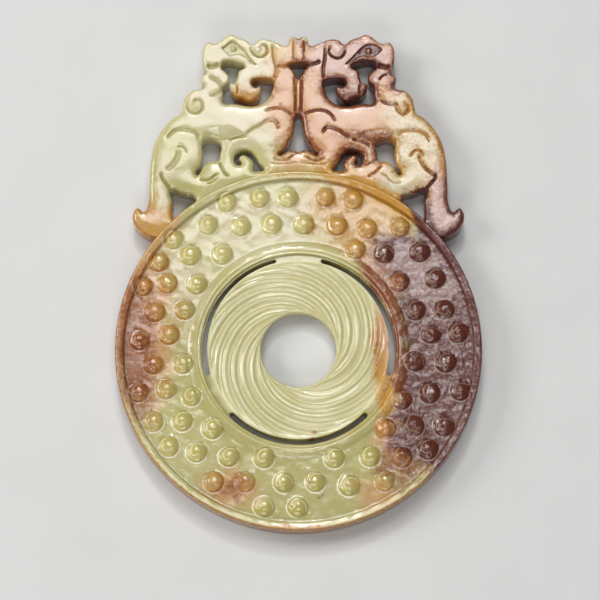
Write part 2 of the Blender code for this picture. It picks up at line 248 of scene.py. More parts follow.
bosses = {
    "size": 2.2,
    "height": 1.15,
    # the dome's fullness, and the depth of its curl and how far the cut slopes in and out
    "fullness": (2.2, 0.8),
    "curl": 0.5,
    "curlSlopes": (0.09, 0.24),
    # the curl starts at this angle, runs on by the sweep (degrees) and draws in by this share
    "curlStart": 50.0,
    "curlSweep": 225.0,
    "curlIn": 0.62,
    "curlEase": 0.8,
    # across, up, size of each boss against the common one, and the turn of its curl in degrees
    "places": [
        (-14.9, 30.9, 1, 20), (-8.1, 31.8, 1, 5), (-2.2, 31.9, 1, -5), (5.5, 32, 0.95, -20),
        (11.3, 31.5, 0.98, 30), (-18.7, 26.1, 0.98, 10), (-12, 25.8, 1, -15),
        (-5.6, 26.2, 1.05, 25), (1, 26.2, 1.03, -35), (7.9, 26, 1, -10), (14.2, 25.3, 0.98, 30),
        (20.9, 25.6, 0.95, 20), (-25.8, 23, 0.98, 15), (-28.8, 18.3, 1, -25),
        (-22.3, 19.7, 1.05, 0), (-15.8, 19.9, 1.05, -10), (11.6, 20.9, 1, 15),
        (17.5, 20.1, 0.98, -60), (24.9, 20.4, 1.02, -10), (-31.9, 13.1, 0.95, 10),
        (-27, 13.8, 1.02, 5), (-21, 13.6, 1.05, -20), (20.6, 14.1, 1, 10), (28, 14.8, 1.03, 0),
        (-29.5, 7.8, 1.03, -15), (-23.3, 8.2, 1, -5), (23.9, 8.1, 1.02, 15), (30, 8.2, 0.95, 70),
        (-32.6, 1.8, 1, -30), (-26.5, 3, 1.02, -20), (27, 3.1, 0.95, -40), (32.6, 3.4, 1.02, 10),
        (-29.7, -3.2, 1, -10), (-23.6, -3.1, 1, 0), (23.7, -2.5, 0.98, -80), (30, -2.8, 1.02, 0),
        (-32.6, -9, 0.98, 5), (-27, -8.4, 1, -20), (-21.8, -9.9, 0.95, 30), (21, -10.6, 0.95, 0),
        (26.7, -9.2, 1.02, 20), (32.9, -8.7, 0.98, -20), (-29.5, -15.1, 1, 40),
        (-23.6, -15, 1, 10), (-17.5, -16.5, 1.05, -10), (17.7, -16.5, 1, 150), (23.5, -16, 1, 60),
        (29.5, -16, 1.02, -30), (-26.3, -20.2, 1, 45), (-20.7, -21.4, 1, 0),
        (-14.1, -22.3, 1, -10), (-7, -22.6, 1, 10), (7.2, -22.6, 1, 0), (14.5, -22.3, 1, 30),
        (21, -22.5, 1, 50), (26.2, -20.8, 1, 20), (-17.2, -27.5, 1, 30), (-10.8, -27.5, 1, 20),
        (-3, -27.6, 1, -60), (3.4, -27.5, 0.98, 0), (10.2, -28.2, 1.05, -40), (17.4, -27.3, 1, 30),
        (-7, -32.5, 1, -80), (-0.2, -32.6, 1, -85),
    ],
}


def fluteTurn(radius):
    # degrees that the flutes have turned at a radius; they leave the hole nearly along its edge
    start, bend = disc["fluteBend"]
    inner = np.clip(start - radius, 0.0, None)
    return disc["fluteTurn"] * np.minimum(radius, disc["fluteEnd"]) - bend * inner ** 2


def fluteHeight(turn, radius):
    # one flute, from 0 in the hollow to 1 on the sharp crest; further out a second crest joins in
    place = turn % 1.0
    main = 1.0 - np.abs(np.sin(math.pi * place ** 0.85)) ** 0.8
    second = 1.0 - np.minimum(np.abs(place - 0.5) / 0.2, 1.0)
    return np.maximum(main, (0.08 + 0.42 * softStep(radius, 12.0, 16.0)) * second ** 1.2)


def turnedDisc():
    shape = bmesh.new()
    points = disc["front"] + disc["back"]
    section = shape.edges.layers.int.new("section")
    corners = [shape.verts.new((radius, 0.0, height)) for radius, height, _ in points]
    for index, corner in enumerate(corners):
        shape.edges.new((corners[index - 1], corner))[section] = index
    for index, (_, _, gap) in enumerate(points):
        edges = [edge for edge in shape.edges if edge[section] == index]
        cuts = math.ceil(edges[0].calc_length() / gap) - 1
        if cuts > 0:
            bmesh.ops.subdivide_edges(shape, edges=edges, cuts=cuts)
    # one sector is spun from the section, and then repeated all the way round
    sectors = disc["flutes"] * 2
    sector = math.tau / sectors
    bmesh.ops.spin(shape, geom=shape.verts[:] + shape.edges[:], cent=(0, 0, 0), axis=(0, 0, 1),
                   angle=sector, steps=disc["turns"] // sectors)
    bmesh.ops.spin(shape, geom=shape.verts[:] + shape.edges[:] + shape.faces[:], cent=(0, 0, 0),
                   axis=(0, 0, 1), angle=math.tau - sector, steps=sectors - 1,
                   use_duplicate=True)
    bmesh.ops.remove_doubles(shape, verts=shape.verts, dist=0.002)
    bmesh.ops.recalc_face_normals(shape, faces=shape.faces)
    return meshFromShape(shape, "disc")


def carveFlutes(places):
    radius = np.hypot(places[:, 0], places[:, 1])
    angle = np.degrees(np.arctan2(places[:, 1], places[:, 0]))
    ring = (radius < 18.5) & (places[:, 2] > 3.9)
    r = radius[ring]
    wave = fluteHeight((angle[ring] - disc["fluteStart"]) / 360.0 * disc["flutes"], r)
    strength = softStep(r, 7.6, 8.6) * softStep(18.6 - r, 0.0, 2.2)
    strength *= 0.8 + 0.2 * uneven(places[ring, :2], 9.0, 5)
    places[ring, 2] -= disc["fluteDepth"] * strength * (1.0 - wave)
    turned = np.radians(angle + fluteTurn(radius))
    places[:, 0] = radius * np.cos(turned)
    places[:, 1] = radius * np.sin(turned)
    strengths = np.zeros(len(places))
    strengths[ring] = strength
    return strengths


def carveField(places):
    # the ground between the bosses, the inner band and the lip are uneven, as cut by hand
    radius = np.hypot(places[:, 0], places[:, 1])
    front = places[:, 2] > disc["frontFloor"]
    flat = places[:, :2]
    ground = softStep(radius, 22.3, 23.6) * softStep(35.6 - radius, 0.0, 1.2)
    band = softStep(radius, 19.7, 20.6) * softStep(22.8 - radius, 0.0, 0.8)
    lip = softStep(radius, 35.0, 35.8)
    # the stained side is pitted and rough
    stained = softStep(flat[:, 0], 15.0, 22.0) * softStep(radius, 19.5, 21.5)
    stained *= softStep(30.0 - np.abs(flat[:, 1] + 0.5), 0.0, 14.0)
    for part, kinds in ((ground, "groundWaves"), (band, "bandWaves"), (lip, "lipWaves"),
                        (stained, "stainedWaves")):
        places[:, 2] += front * part * handWaves(flat, disc[kinds])


def raiseBosses(places):
    # gives back each place across, up and away from the middle of its boss, in boss sizes
    own = np.full((len(places), 3), 2.0)
    flat = places[:, :2]
    radius = np.hypot(flat[:, 0], flat[:, 1])
    front = places[:, 2] > disc["frontFloor"]
    shoulder, top = bosses["fullness"]
    for number, (x, y, size, turn) in enumerate(bosses["places"]):
        reach = bosses["size"] * size
        gap = flat - (x, y)
        away = np.hypot(gap[:, 0], gap[:, 1])
        near = front & (away < reach * 1.45)
        r = away[near] / reach
        angle = (np.degrees(np.arctan2(gap[near, 1], gap[near, 0])) - turn) % 360.0
        dome = np.clip(1.0 - np.clip(r, 0.0, 1.0) ** shoulder, 0.0, 1.0) ** top
        dome *= bosses["height"] * (0.95 + 0.05 * math.sin(number * 2.4))
        dome *= softStep(36.0 - radius[near], 0.0, 0.6)  # the lip cuts the outer bosses
        # the curl opens at the top, runs down the left side and ends below the middle
        swing = (angle - bosses["curlStart"]) % 360.0
        share = np.clip(swing / bosses["curlSweep"], 0.0, 1.0)
        track = 1.0 - bosses["curlIn"] * share ** bosses["curlEase"]
        inCurl = softStep(swing, 0.0, 15.0) * softStep(240.0 - swing, 0.0, 35.0)
        offset = r - track
        cut = np.exp(-(offset / np.where(offset < 0.0, *bosses["curlSlopes"])) ** 2)
        swell = np.sin(math.pi * np.clip(share, 0.05, 0.95))
        depth = bosses["curl"] * inCurl * (0.6 + 0.4 * swell)
        places[near, 2] += dome - depth * cut * softStep(1.15 - r, 0.0, 0.2)
        nearest = r < own[near, 2]
        turned = np.column_stack([r * np.cos(np.radians(angle)), r * np.sin(np.radians(angle)), r])
        own[near] = np.where(nearest[:, None], turned, own[near])
    return own


def plateCurve(name, thickness):
    curve = bpy.data.curves.new(name, "CURVE")
    curve.dimensions = "2D"
    curve.fill_mode = "BOTH"
    curve.extrude = thickness / 2
    return curve


def slotCutter(start, end, widthStart, widthEnd):
    # an upright bar swept round the disc, with its tips drawn together
    steps = 90
    middle = disc["slotInner"] + disc["slotWidth"] / 2
    curve = plateCurve("slot", 12.0)
    outline = []
    for way in (1, -1):
        for index in range(steps + 1)[::way]:
            share = index / steps
            angle = math.radians(start + (end - start) * share)
            fromTip = min(share, 1.0 - share) * math.radians(end - start) * middle
            half = (widthStart + (widthEnd - widthStart) * share) / 2
            if fromTip < half:
                half = math.sqrt(max(half ** 2 - (half - fromTip) ** 2, 0.0004))
            radius = middle + way * half
            outline.append((radius * math.cos(angle), radius * math.sin(angle)))
    spline = curve.splines.new("POLY")
    spline.points.add(len(outline) - 1)
    for point, (x, y) in zip(spline.points, outline):
        point.co = (x, y, 0.0, 1.0)
    spline.use_cyclic_u = True
    return closedFromCurve(curve, "slotCutter")


def closedFromCurve(curve, name):
    guide = addPiece(name, curve)
    shape = bmesh.new()
    shape.from_mesh(finishedMesh(guide))
    bmesh.ops.remove_doubles(shape, verts=shape.verts, dist=0.001)
    bmesh.ops.recalc_face_normals(shape, faces=shape.faces)
    bpy.data.objects.remove(guide)
    return addPiece(name, meshFromShape(shape, name))


def makeDisc():
    mesh = turnedDisc()
    places = readPlaces(mesh)
    strengths = carveFlutes(places)
    carveField(places)
    own = raiseBosses(places)
    writePlaces(mesh, places)
    addCarvingMarks(mesh, {"flute": strengths, "bossAcross": own[:, 0], "bossUp": own[:, 1],
                           "bossAway": own[:, 2]})
    piece = addPiece("disc", mesh)
    for start, end, widthStart, widthEnd in disc["slots"]:
        combine(piece, slotCutter(start, end, widthStart, widthEnd), "DIFFERENCE")
    print("disc turned and carved:", len(piece.data.polygons), "faces")
    return piece


# The crest of two beasts, drawn from the middle line outwards and from the disc's top upwards

crest = {
    "low": 0.25,
    "high": 5.95,
    "voxel": 0.17,
    "lineWidth": 0.85,
    "lineDepth": 0.75,
    "roundWidth": 0.85,
    "roundDrop": 0.75,
    "pillowWidth": 3.4,
    "pillowDrop": 0.36,
    "headFoot": 56.0,
    "backDrop": 0.4,
    "outline": [
        (0, 28.7), (0.9, 29.1), (1.8, 28.8), (2.1, 27.7), (2.6, 27.1), (4.2, 27.6), (6.4, 28.45),
        (8.3, 28.4), (9.6, 27.45), (10.9, 28.35), (12.6, 28.95), (14.3, 29.55), (15.5, 28.9),
        (16.6, 27.95), (17.9, 27.55), (18.9, 27.85), (19.8, 26.8), (20.05, 24.9), (19.7, 22.7),
        (19.15, 21.3), (20.2, 20.4), (20.25, 19.2), (19.55, 18.3), (20.4, 17.7), (22.2, 17.3),
        (23.6, 15.9), (24.1, 13.9), (24.5, 12.6), (26.2, 11.4), (28.3, 8.9), (29.8, 6),
        (30.5, 2.5), (30.8, -3), (31.05, -7.1), (32, -8.6), (32.7, -8.05), (33.2, -7.75),
        (34, -8.6), (34.2, -9.8), (33.4, -11.9), (31.8, -13.3), (30.2, -14),
    ],
    "gaps": [
        # under the jaw, round the beard
        [(15.9, 23.5), (14.6, 23.9), (12.6, 23.5), (11.2, 22.6), (12.4, 21.6), (12.8, 20.1),
         (13.3, 19), (14.15, 18.85), (14.1, 17.4), (13.2, 16.2), (11.8, 15.8), (10, 15.2),
         (8.5, 15.9), (7.85, 17.4), (8.05, 18.25), (8.9, 18), (9.75, 18.6), (9.7, 19.6),
         (8.6, 20), (6.4, 19.9), (5.3, 19.4), (5.45, 17.5), (6.3, 15.7), (8.3, 14.35),
         (10.5, 14.1), (13.2, 14.6), (15.6, 14.8), (15.7, 16.5), (15.6, 18.4), (14.7, 19.1),
         (14.45, 20.3), (15.1, 21.3), (16.1, 22.3)],
        # under the belly
        [(19.7, 6.5), (16.4, 6.4), (16, 5.3), (16.25, 3.7), (16.6, 2.35), (18.2, 2.15),
         (19.7, 1.1), (20.3, -0.1), (21, -0.7), (21.3, -0.1), (20.3, 1.5), (19.9, 3.8)],
        # between the tail and the disc
        [(26.2, -4), (24, -4.5), (21.3, -5.6), (21.9, -7.3), (23.8, -8.75), (25.5, -10.3),
         (26, -9), (26, -6.8)],
        # inside the scroll of the foreleg
        [(7.2, 0.5), (8.1, 1.8), (9.2, 3.7), (10.1, 4.5), (12, 4.55), (13.2, 3.6), (13.3, 2.2),
         (12.5, 1.35), (11.75, 1.8), (12.3, 2.8), (11.5, 3.55), (10.3, 3), (9.35, 1.9),
         (9.25, 0.2), (8.3, 0.1)],
    ],
    # gaps on the middle line, left half
    "middleGaps": [
        [(0, 12.4), (0.75, 11.1), (0.95, 9.3), (1.6, 7.1), (2.9, 4.9), (4, 3.6), (2.6, 4.2),
         (1.2, 4.6), (0, 4.3)],
        [(0, 23.5), (1.3, 23.4), (1.9, 22.8), (1.3, 21.9), (0.5, 20.6), (0, 19.9)],
    ],
    "root": 36.3,
    "footTurn": 3.0,
    # the arch under which each belly falls away, and how steeply
    "bellies": {
        -1: [(20.6, 43.9), (20.3, 44.6), (19.5, 46.3), (17.2, 47.1), (14.0, 47.1), (12.0, 46.2),
             (10.4, 44.6)],
        1: [(20.3, 43.9), (20.0, 44.7), (19.3, 45.9), (17.0, 46.4), (14.0, 46.2), (12.0, 45.3),
            (10.6, 44.2)],
    },
    "bellySlope": 0.27,
    "bellyDrop": 0.75,
    # strength of the painted shade on each belly's slope
    "bellyShade": 0.6,
    # from this share of the half thickness upwards the plate is carved
    "frontFrom": 0.35,
    "eyeDepth": 0.5,
    "ballRise": 0.2,
    "earLine": (0.38, 0.5),
    "waves": [(0.02, 4.0, 11), (0.006, 1.7, 12)],
}

# Carved lines: points as (distance from the middle line, height above the disc's middle),
# width, depth, and how many times wider the sloping side is
leftLines = [
    ([(5.3, 65.2), (4.9, 62), (4.4, 59.4), (5, 57)], 0.55, 0.5, 1.6),
    ([(4.6, 60.2), (3.4, 60.1), (2.2, 60.2), (1.2, 60.6)], 0.7, 0.9, 1),
    ([(0.8, 58), (0.6, 54), (0.6, 49.5)], 0.55, 0.55, 1),
    ([(1, 66.2), (1, 63), (0.9, 61)], 0.4, 0.45, 1),
    ([(19.2, 60.3), (17.8, 60), (16.4, 60.6)], 0.9, 1.1, 1),
    ([(18.9, 58.4), (17.6, 57.6), (16.3, 56.6), (15.8, 55.4), (16.2, 54.4), (17.3, 53.8),
      (18.9, 53.7)], 0.5, 0.45, 2.2),
    ([(22.9, 53.2), (23.1, 51.6), (22.5, 50.3), (21.3, 49.9), (20.2, 50.5), (19.9, 51.7),
      (20.5, 52.7), (21.6, 52.7), (22.1, 51.8)], 0.42, 0.5, 1.5),
    ([(27.4, 44), (27.2, 44.8), (26.6, 45.6), (25.8, 46.3), (24.8, 46.6), (23.8, 46.6),
      (22.8, 46.4), (21.8, 46.1), (21.1, 45.7), (20.6, 45), (20.5, 43.5)], 0.38, 0.5, 2.6),
    ([(25.2, 42.6), (24.5, 42.8), (23.8, 42.6), (23.2, 42), (23, 41.2)], 0.32, 0.38, 1.6),
    ([(24.7, 42.2), (24.9, 41), (25.4, 39.6), (26.4, 38.4), (27.6, 37.5)], 0.95, 0.28, 1),
    ([(28.5, 37.4), (28, 35.9), (27.3, 34.9), (26.6, 33.9), (26.2, 32.6)], 0.45, 0.8, 1.6),
    ([(4.4, 46.1), (4.3, 46.8), (4.5, 47.6), (5, 48.1), (5.8, 48.3), (6.6, 48.2), (7.3, 47.6),
      (8.5, 46.9), (9.5, 46.4), (10.4, 45.7), (11.2, 45)], 0.42, 0.55, 2),
    ([(7.3, 50.4), (6.2, 50.8), (5, 51.1), (4, 51.1), (3, 50.8), (2.2, 50.3), (1.5, 49.8),
      (0.9, 49)], 0.4, 0.55, 1.8),
    ([(10.4, 45.2), (12, 44.8), (13.5, 44.4), (14.6, 43.9)], 0.4, 0.6, 2),
    ([(16.3, 39.8), (16, 38.8), (15.5, 37.7), (15, 36.9), (14.1, 36.3)], 0.45, 0.75, 1.5),
    ([(5.3, 40.3), (3.8, 40), (2.4, 40.1), (1.4, 40.7), (0.9, 41.3)], 0.38, 0.45, 1.5),
    ([(6.2, 39.2), (4, 39.1), (2, 39.2), (0, 39.3)], 0.3, 0.3, 1),
    ([(20.6, 35.8), (19.4, 35.6), (18.3, 35.7), (17.2, 36.6), (16.3, 36.9)], 0.36, 0.5, 1.5),
    ([(19, 34.6), (17.6, 35.2), (16.6, 35.9)], 0.3, 0.3, 1),
    ([(13, 56.6), (12.6, 55.2), (12.9, 53.8)], 0.4, 0.45, 1),
]
leftHead = {
    "ear": [(9.8, 65), (9.9, 63.8), (9.3, 62.7), (8.3, 62.1), (7.2, 62.3), (6.5, 63.1),
            (6.6, 64.2), (7.3, 64.8), (8.1, 64.6)],
    "earBall": (8.5, 63.6, 0.95),
    "eye": [(16.3, 64.1), (15.5, 64.5), (14.8, 65.2), (13.9, 65.7), (13.2, 65.4), (12.2, 64.6),
            (11.1, 63.5), (9.8, 61.7), (8.7, 60.4), (9.6, 60.6), (10.6, 61.5), (12, 62.5),
            (13.2, 62.5), (14.3, 62.2), (15, 62.8)],
    "ball": (13.6, 64, 0.8),
    "curlBall": (21.4, 51.3, 0.85),
}
rightLines = [
    ([(5.6, 64.6), (5.5, 62), (5.1, 59.4), (5.3, 57)], 0.5, 0.55, 1.4),
    ([(4.6, 61.4), (3.8, 60.8), (2.4, 60.5), (1.2, 60.8)], 0.65, 0.9, 1),
    ([(0.8, 58), (0.6, 54), (0.6, 49.5)], 0.55, 0.55, 1),
    ([(1.3, 66.2), (1.2, 63), (0.9, 61)], 0.4, 0.4, 1),
    ([(19.3, 60), (18, 59.9), (16.4, 60.4)], 0.9, 1.1, 1),
    ([(18.6, 58.3), (17.5, 58), (16.7, 57)], 0.4, 0.5, 1),
    ([(16.8, 53.4), (17.6, 52.3), (18.8, 51.8), (20.2, 51.7), (20.6, 50.5), (21.6, 49.6),
      (22.8, 50.1), (23, 51.3), (22.2, 52.2), (21.3, 52.1)], 0.45, 0.5, 1.8),
    ([(20.2, 44.6), (20.9, 45.4), (22, 45.9), (23.6, 46.1), (25.1, 45.9), (26.3, 45.2),
      (26.9, 44.3), (27.1, 43.4)], 0.4, 0.5, 2.2),
    ([(23, 40.3), (23.6, 41.2), (24.5, 41.9), (25.4, 41.5), (26, 40.4)], 0.4, 0.5, 1.5),
    ([(24.9, 41.3), (25.3, 39.6), (26.3, 38), (27.5, 36.9), (28.5, 36.4)], 0.6, 0.5, 1.4),
    ([(28.3, 37.4), (28.2, 36), (27.4, 35), (26.6, 34), (26.4, 32.8)], 0.45, 0.75, 1.5),
    ([(5.2, 45.2), (5.3, 46), (6, 46.8), (7.2, 46.6), (8.5, 46), (10, 44.9), (11.2, 44.4)],
     0.45, 0.6, 1.8),
    ([(7.9, 47.8), (7.2, 49.2), (6.2, 50.2), (5, 50.6), (3.8, 50.6), (2.6, 50.3), (1.6, 50.1),
      (0.9, 49.4)], 0.4, 0.55, 1.6),
    ([(11, 44.3), (12.4, 43.9), (13.8, 43.4), (15, 42.6)], 0.4, 0.6, 2),
    ([(17.3, 38.9), (16.5, 37.9), (15.5, 37), (14.2, 36.2)], 0.4, 0.6, 1.5),
    ([(5.6, 40.6), (4, 39.9), (2.4, 40.2), (1.2, 40.9)], 0.38, 0.45, 1.5),
    ([(6.4, 39.2), (4, 39.1), (2, 39.2), (0, 39.3)], 0.3, 0.3, 1),
    ([(21.5, 35.1), (20, 35), (18.8, 35.6), (18, 36.5), (16.8, 37)], 0.3, 0.35, 1.2),
    ([(16.8, 40.2), (14.8, 39.2), (13.4, 38.6)], 0.3, 0.35, 1),
    ([(13, 56.4), (12.6, 55.2), (12.9, 53.8)], 0.4, 0.45, 1),
]
rightHead = {
    "ear": [(9.7, 64.7), (9.7, 63.2), (9, 62.1), (8, 61.8), (6.9, 62.3), (6.3, 63.2),
            (6.6, 64.2), (7.3, 64.6)],
    "earBall": (8.2, 63.3, 0.95),
    "eye": [(17.6, 63.6), (16.9, 64.4), (15.7, 64.9), (14.3, 64.9), (13.1, 64.2), (12.1, 63.1),
            (10.8, 61.7), (9.6, 60.5), (10.4, 60.6), (11.8, 61.5), (13.2, 62.2), (14.6, 62),
            (16.2, 62.4)],
    "ball": (14.6, 63.5, 0.9),
    "curlBall": (21.6, 50.9, 0.8),
}


def crestOutlines():
    top = disc["radius"]
    drawn = onSide(crest["outline"], 1, top)
    # the foot of the crest is an arc inside the disc, a little shorter than from tail to tail
    high = math.atan2(drawn[-1][1], -drawn[-1][0]) - math.radians(crest["footTurn"])
    low = math.pi - high
    steps = 30
    turns = [low + (high - low) * n / steps for n in range(steps + 1)]
    base = [(crest["root"] * math.cos(turn), crest["root"] * math.sin(turn)) for turn in turns]
    outlines = [onSide(drawn, -1) + base[::-1] + drawn[:0:-1]]
    for gap in crest["middleGaps"]:
        outlines.append(onSide(gap, -1, top) + onSide(gap[-2:0:-1], 1, top))
    for gap in crest["gaps"]:
        outlines += [onSide(gap, -1, top), onSide(gap, 1, top)]
    return outlines


def crestBlank():
    # the sawn plate of the crest, with its gaps cut through
    curve = plateCurve("crest", crest["high"] - crest["low"])
    for outline in crestOutlines():
        spline = curve.splines.new("BEZIER")
        spline.bezier_points.add(len(outline) - 1)
        for point, (x, y) in zip(spline.bezier_points, outline):
            point.co = (x, y, 0.0)
            point.handle_left_type = "AUTO"
            point.handle_right_type = "AUTO"
        spline.use_cyclic_u = True
    blank = closedFromCurve(curve, "crest")
    places = readPlaces(blank.data)
    walls = places[:, :2].copy()
    places[:, 2] += (crest["high"] + crest["low"]) / 2
    writePlaces(blank.data, places)
    remesh = blank.modifiers.new("even faces", "REMESH")
    remesh.mode = "VOXEL"
    remesh.voxel_size = crest["voxel"]
    applyModifiers(blank)
    return blank, walls


def wallDistance(flat, walls):
    # distance of places from the crest's outlines
    tree = KDTree(len(walls))
    for index, (x, y) in enumerate(walls):
        tree.insert((x, y, 0.0), index)
    tree.balance()
    return np.array([tree.find((x, y, 0.0))[2] for x, y in flat])


def insideRing(spots, ring):
    inside = np.zeros(len(spots), bool)
    for (x0, y0), (x1, y1) in zip(ring, np.roll(ring, -1, axis=0)):
        crosses = (y0 > spots[:, 1]) != (y1 > spots[:, 1])
        level = np.where(crosses, (spots[:, 1] - y0) / (y1 - y0 + 1e-12) * (x1 - x0) + x0, 0.0)
        inside ^= crosses & (spots[:, 0] < level)
    return inside


def carveHead(places, reach, head, side):
    # a sunk, leaf-shaped eye with its ball left standing, and a curled ear
    flat = places[:, :2]
    eye = onSide(head["eye"], side)
    ring = roundedLine(eye + eye[:1])
    near = placesNear(places, reach, ring, 0.6)
    spots = flat[near]
    away = lineDistance(spots, ring)[0]
    depth = np.where(insideRing(spots, ring), away, -away)
    sunk = crest["eyeDepth"] * softStep(depth, -0.05, 0.25)
    x, y, size = head["ball"]
    ball = np.hypot(spots[:, 0] - side * x, spots[:, 1] - y)
    places[near, 2] -= sunk * (1.0 - 1.05 * smoothFall(ball / size))
    for x, y, size in (head["earBall"], head["curlBall"]):
        bump = np.hypot(flat[:, 0] - side * x, flat[:, 1] - y)
        places[:, 2] += reach * crest["ballRise"] * smoothFall(bump / (size * 1.3))
    carveLine(places, reach, onSide(head["ear"], side), *crest["earLine"])


def sinkBelly(places, reach, side):
    # the flank ends in a crisp arch, below which the belly slopes away to the gap; a painted shade
    # for that slope is given back
    arch = roundedLine(onSide(crest["bellies"][side], side))
    near = placesNear(places, reach, arch, 0.1)
    spots = places[near, :2]
    away = lineDistance(spots, arch)[0]
    fall = np.minimum(away * crest["bellySlope"], crest["bellyDrop"])
    inside = insideRing(spots, arch)
    places[near, 2] -= fall * inside
    shade = np.zeros(len(places))
    shade[near] = crest["bellyShade"] * inside * softStep(away, 0.0, 0.3)
    return shade


def makeCrest():
    blank, walls = crestBlank()
    mesh = blank.data
    places = readPlaces(mesh)
    middle = (crest["high"] + crest["low"]) / 2
    half = (crest["high"] - crest["low"]) / 2
    # from -1 at the back to 1 at the front
    height = np.clip((places[:, 2] - middle) / half, -1.0, 1.0)
    edge = wallDistance(places[:, :2], walls)
    flat = places[:, :2].copy()
    # limbs are flat on top and fall away ever more steeply to their walls
    width = crest["roundWidth"] * (1.0 - 0.35 * softStep(flat[:, 1], 53.0, 56.0))
    share = np.clip(edge / width, 0.0, 1.0)
    fall = 1.0 - np.sqrt(np.clip(1.0 - (1.0 - share) ** 2, 0.0, 1.0))
    drop = np.where(height > 0, crest["roundDrop"], crest["backDrop"])
    places[:, 2] -= height * fall * drop
    share = np.clip(edge / crest["pillowWidth"], 0.0, 1.0)
    body = softStep(crest["headFoot"] - flat[:, 1], 0.0, 3.0)
    places[:, 2] -= np.clip(height, 0.0, 1.0) * body * crest["pillowDrop"] * (1.0 - share) ** 2
    front = np.clip((height - crest["frontFrom"]) / (1.0 - crest["frontFrom"]), 0.0, 1.0)
    reach = height > crest["frontFrom"]
    before = places[:, 2].copy()
    for side, lines, head in ((-1, leftLines, leftHead), (1, rightLines, rightHead)):
        own = reach & (flat[:, 0] * side > -0.1)
        for points, width, depth, slope in lines:
            mirrored = onSide(points, side)
            if side < 0:
                mirrored = mirrored[::-1]
            carveLine(places, own, mirrored, width * crest["lineWidth"],
                      depth * crest["lineDepth"], slope, (0.15, 0.15))
        carveHead(places, own, head, side)
    carved = np.clip((before - places[:, 2]) / 0.35, 0.0, 1.0)
    # the painted shade of each sloping belly joins the cut depth
    for side in (-1, 1):
        carved = np.maximum(carved, sinkBelly(places, reach, side))
    places[:, 2] += front * handWaves(flat, crest["waves"])
    places[:, 2] = before + (places[:, 2] - before) * front
    writePlaces(mesh, places)
    rim = 1.0 - softStep(edge, 0.3, 1.9)
    addCarvingMarks(mesh, {"carved": carved * front, "rim": rim})
    print("crest carved:", len(mesh.polygons), "faces")
    return blank


# The whole stone

stone = {
    "name": "jade_stone",
    "triangles": 190000,
    "sharpAngle": 50.0,
}
